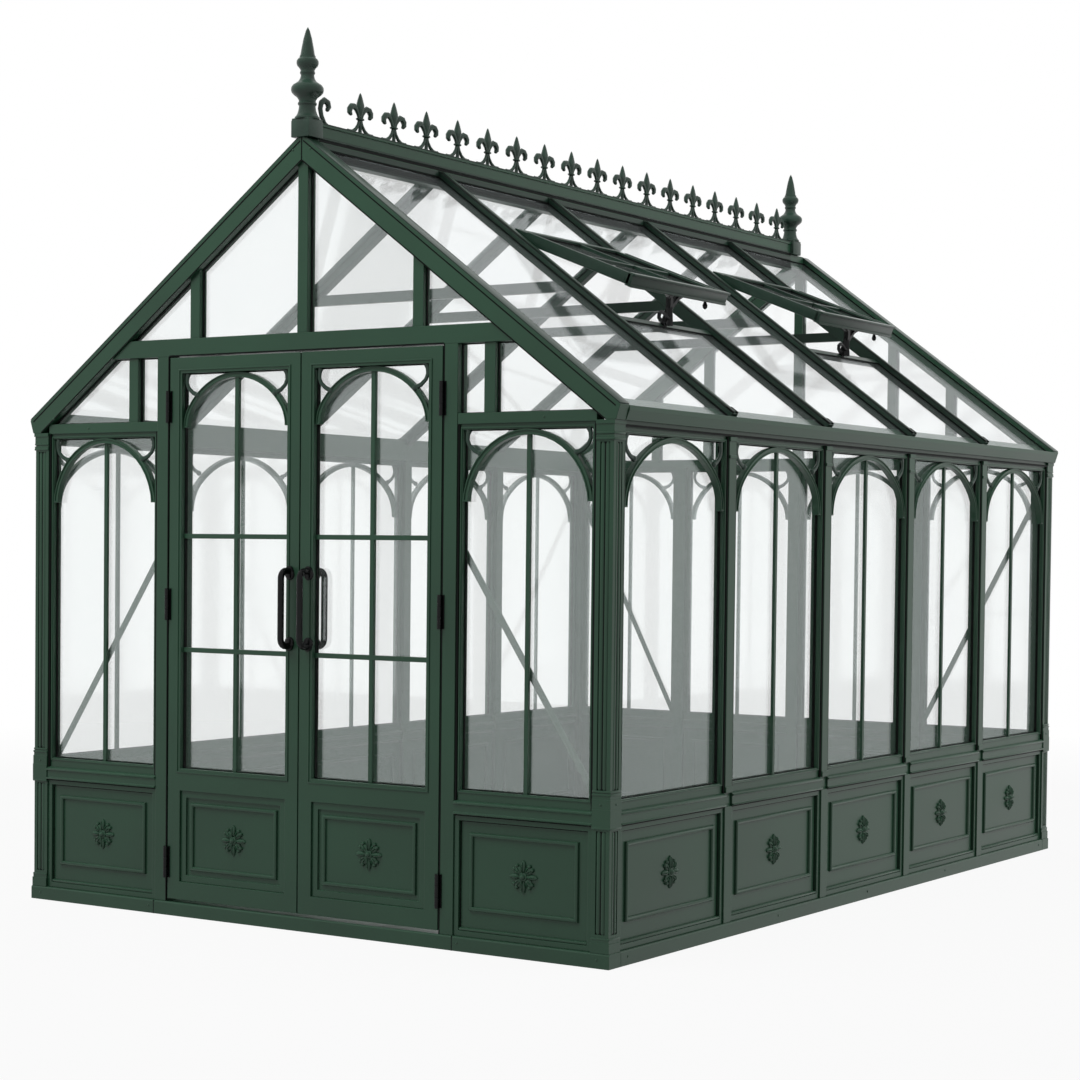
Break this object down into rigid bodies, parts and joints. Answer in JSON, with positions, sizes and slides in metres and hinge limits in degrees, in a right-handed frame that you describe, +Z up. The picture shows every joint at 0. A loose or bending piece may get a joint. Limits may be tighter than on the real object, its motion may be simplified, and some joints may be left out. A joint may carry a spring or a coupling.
{
  "type": "glass greenhouse",
  "caption": "Free-standing Victorian-style glass greenhouse with panelled base, arched windows, pitched glass roof with open vents, ridge cresting and a pair of hinged doors.",
  "frame": {"origin": "on the ground at the middle of the base plinth's plan", "axes": "+Z up, -Y towards the doors, +X to the right seen from the front; the ridge runs along Y"},
  "size_m": [2.736, 4.106, 3.3063],
  "materials": {
    "green_frame": "satin powder coat",
    "cast_green": "satin paint on cast aluminium",
    "black_iron": "satin black",
    "glass": "clear toughened glass"
  },
  "bodies": {
    "root": {"end_plinths": "green_frame", "side_plinths": "green_frame", "corner_posts": "green_frame", "side_wall_posts": "green_frame", "back_wall_posts": "green_frame", "door_jambs": "green_frame", "front_sill_rails": "green_frame", "side_sill_rails": "green_frame", "back_sill_rails": "green_frame", "front_wall_panels": "green_frame", "side_wall_panels": "green_frame", "back_wall_panels": "green_frame", "window_frames": "green_frame", "window_arches": "green_frame", "wall_glass": "glass", "eaves_gutters": "green_frame", "gable_transoms": "green_frame", "door_header": "green_frame", "gable_rakes": "green_frame", "gable_posts": "green_frame", "gable_glass": "glass", "ridge_beam": "green_frame", "ridge_crest": "cast_green", "finials": "cast_green", "rafters": "green_frame", "left_roof_glass": "glass", "right_roof_glass": "glass", "roof_ties": "green_frame", "vent_frames": "green_frame", "vent_glass": "glass", "vent_openers": "black_iron", "wind_braces": "green_frame", "jamb_hinge_leaves": "black_iron"},
    "left_door": {"left_door_frame": "green_frame", "left_door_panel": "green_frame", "left_door_bars": "green_frame", "left_door_glass": "glass", "left_door_handles": "black_iron", "left_door_hinges": "black_iron"},
    "right_door": {"right_door_frame": "green_frame", "right_door_panel": "green_frame", "right_door_bars": "green_frame", "right_door_glass": "glass", "right_door_handles": "black_iron", "right_door_hinges": "black_iron"}
  },
  "joints": [
    {"name": "left_door_hinge", "type": "hinge", "parent": "root", "child": "left_door", "pos_m": [-0.6375, -2.0265, 1], "axis": [0, 0, -1], "range_deg": [0, 100]},
    {"name": "right_door_hinge", "type": "hinge", "parent": "root", "child": "right_door", "pos_m": [0.6375, -2.0265, 1], "axis": [0, 0, 1], "range_deg": [0, 100]}
  ]
}
